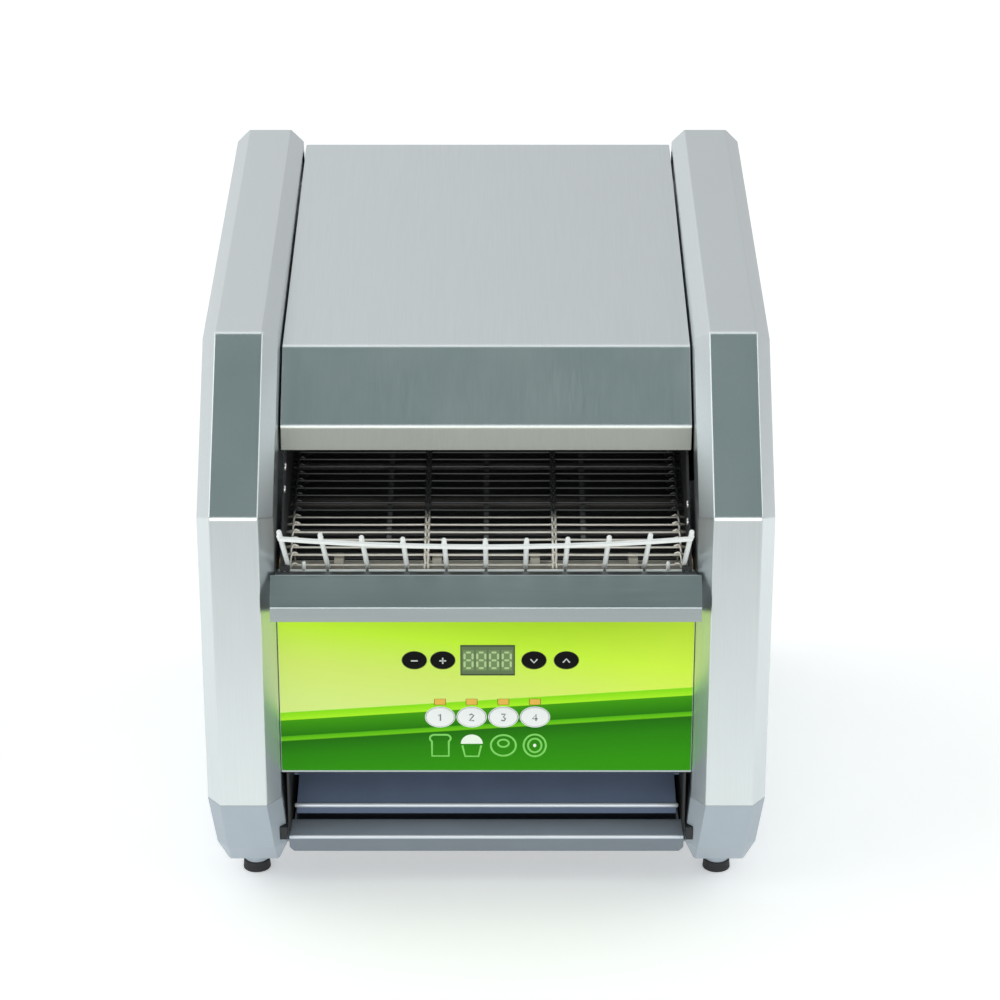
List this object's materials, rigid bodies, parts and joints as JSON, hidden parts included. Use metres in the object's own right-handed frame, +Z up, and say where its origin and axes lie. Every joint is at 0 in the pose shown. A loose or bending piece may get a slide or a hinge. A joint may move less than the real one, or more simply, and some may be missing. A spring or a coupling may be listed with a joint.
{
  "type": "conveyor toaster",
  "caption": "Countertop conveyor toaster: bevelled side columns, sloped hood, wire belt, wire load rack, keyed front panel, discharge ramp and pull-out crumb tray.",
  "frame": {"origin": "bottom centre of the box, on the surface the feet stand on", "axes": "+Z up, +X to the right of the operator, -Y towards the operator (the load and discharge side)"},
  "size_m": [0.368, 0.45, 0.4118],
  "materials": {
    "stainless": "brushed, satin",
    "plated_sheet": "zinc plated, dull",
    "sooted_sheet": "heat blackened",
    "reflector_sheet": "bright rolled",
    "tray_steel": "brushed, worn",
    "base_metal": "silver grey enamel",
    "bright_wire": "nickel plated",
    "belt_wire": "drawn stainless wire, heat tinted",
    "shaft_steel": "ground",
    "sprocket_steel": "oiled steel",
    "bush_bronze": "sintered bronze",
    "screw_steel": "zinc plated",
    "foot_rubber": "moulded",
    "black_plastic": "moulded",
    "heater_sheath": "oxidised sheath",
    "thermostat_shell": "pressed",
    "motor_shell": "enamel",
    "overlay_print": "printed film",
    "black_key": "moulded",
    "white_key": "moulded",
    "display_lens": "tinted lens",
    "amber_lens": "diffusing lens",
    "circuit_board": "lacquered"
  },
  "bodies": {
    "housing": {"apron": "stainless", "base_pan": "plated_sheet", "belt_slide_bars": "shaft_steel", "board_posts": "screw_steel", "case_screws": "screw_steel", "control_board": "circuit_board", "control_panel": "stainless", "control_shield": "sooted_sheet", "conveyor_belt": "belt_wire", "cord_gland": "black_plastic", "discharge_ramp": "tray_steel", "display_module": "black_plastic", "display_window": "display_lens", "drive_chain": "sprocket_steel", "fan_frame": "black_plastic", "foot_nuts": "screw_steel", "foot_studs": "base_metal", "gearmotor": "motor_shell", "hood": "stainless", "left_base_rail": "base_metal", "left_chassis_plate": "sooted_sheet", "left_side_cover": "stainless", "limit_thermostat": "thermostat_shell", "lower_heaters": "heater_sheath", "lower_reflector": "reflector_sheet", "motor_bracket": "plated_sheet", "panel_overlay": "overlay_print", "power_relay": "black_plastic", "program_lamps": "amber_lens", "rear_chute": "plated_sheet", "rear_panel": "stainless", "right_base_rail": "base_metal", "right_chassis_plate": "sooted_sheet", "right_side_cover": "stainless", "rubber_feet": "foot_rubber", "shaft_bushes": "bush_bronze", "terminal_block": "black_plastic", "tray_guides": "black_plastic", "upper_heaters": "heater_sheath", "upper_reflector": "sooted_sheet"},
    "drive": {"drive_shaft": "shaft_steel", "belt_sprockets": "sprocket_steel", "shaft_sprocket": "sprocket_steel"},
    "idler": {"idler_shaft": "shaft_steel", "idler_rollers": "sprocket_steel"},
    "motor_output": {"motor_shaft": "shaft_steel", "motor_sprocket": "sprocket_steel"},
    "fan": {"fan_rotor": "black_plastic"},
    "tray": {"crumb_tray": "tray_steel"},
    "rack": {"rack_wires": "bright_wire", "rack_uprights": "bright_wire"},
    "outer_left_key_body": {"outer_left_key": "black_key"},
    "inner_left_key_body": {"inner_left_key": "black_key"},
    "inner_right_key_body": {"inner_right_key": "black_key"},
    "outer_right_key_body": {"outer_right_key": "black_key"},
    "slice_key_body": {"slice_key": "white_key"},
    "bun_key_body": {"bun_key": "white_key"},
    "ring_key_body": {"ring_key": "white_key"},
    "muffin_key_body": {"muffin_key": "white_key"}
  },
  "joints": [
    {"name": "drive_turn", "type": "hinge", "parent": "housing", "child": "drive", "pos_m": [0, 0.13192, 0.29496], "axis": [-1, 0, 0], "continuous": true, "deforming": ["conveyor_belt", "drive_chain"]},
    {"name": "idler_turn", "type": "hinge", "parent": "housing", "child": "idler", "pos_m": [0, -0.13401, 0.2167], "axis": [-1, 0, 0], "continuous": true},
    {"name": "motor_turn", "type": "hinge", "parent": "housing", "child": "motor_output", "pos_m": [0, 0.13192, 0.22829], "axis": [-1, 0, 0], "continuous": true},
    {"name": "fan_turn", "type": "hinge", "parent": "housing", "child": "fan", "pos_m": [-0.062, 0.18569, 0.0588], "axis": [0, 1, 0], "continuous": true},
    {"name": "tray_slide", "type": "slide", "parent": "housing", "child": "tray", "axis": [0, -1, 0], "range_m": [0, 0.3]},
    {"name": "rack_swing", "type": "hinge", "parent": "housing", "child": "rack", "pos_m": [0, -0.15341, 0.224], "axis": [-1, 0, 0], "range_deg": [0, 75]},
    {"name": "outer_left_key_press", "type": "slide", "parent": "housing", "child": "outer_left_key_body", "axis": [0, 1, 0], "range_m": [0, 0.0006], "stiffness_N_per_m": 1000, "springref_m": -0.0003},
    {"name": "inner_left_key_press", "type": "slide", "parent": "housing", "child": "inner_left_key_body", "axis": [0, 1, 0], "range_m": [0, 0.0006], "stiffness_N_per_m": 1000, "springref_m": -0.0003},
    {"name": "inner_right_key_press", "type": "slide", "parent": "housing", "child": "inner_right_key_body", "axis": [0, 1, 0], "range_m": [0, 0.0006], "stiffness_N_per_m": 1000, "springref_m": -0.0003},
    {"name": "outer_right_key_press", "type": "slide", "parent": "housing", "child": "outer_right_key_body", "axis": [0, 1, 0], "range_m": [0, 0.0006], "stiffness_N_per_m": 1000, "springref_m": -0.0003},
    {"name": "slice_key_press", "type": "slide", "parent": "housing", "child": "slice_key_body", "axis": [0, 1, 0], "range_m": [0, 0.0006], "stiffness_N_per_m": 1000, "springref_m": -0.0003},
    {"name": "bun_key_press", "type": "slide", "parent": "housing", "child": "bun_key_body", "axis": [0, 1, 0], "range_m": [0, 0.0006], "stiffness_N_per_m": 1000, "springref_m": -0.0003},
    {"name": "ring_key_press", "type": "slide", "parent": "housing", "child": "ring_key_body", "axis": [0, 1, 0], "range_m": [0, 0.0006], "stiffness_N_per_m": 1000, "springref_m": -0.0003},
    {"name": "muffin_key_press", "type": "slide", "parent": "housing", "child": "muffin_key_body", "axis": [0, 1, 0], "range_m": [0, 0.0006], "stiffness_N_per_m": 1000, "springref_m": -0.0003}
  ],
  "couplings": [
    {"joint": "idler_turn", "follows": "drive_turn", "ratio": 1},
    {"joint": "motor_turn", "follows": "drive_turn", "ratio": 1}
  ]
}
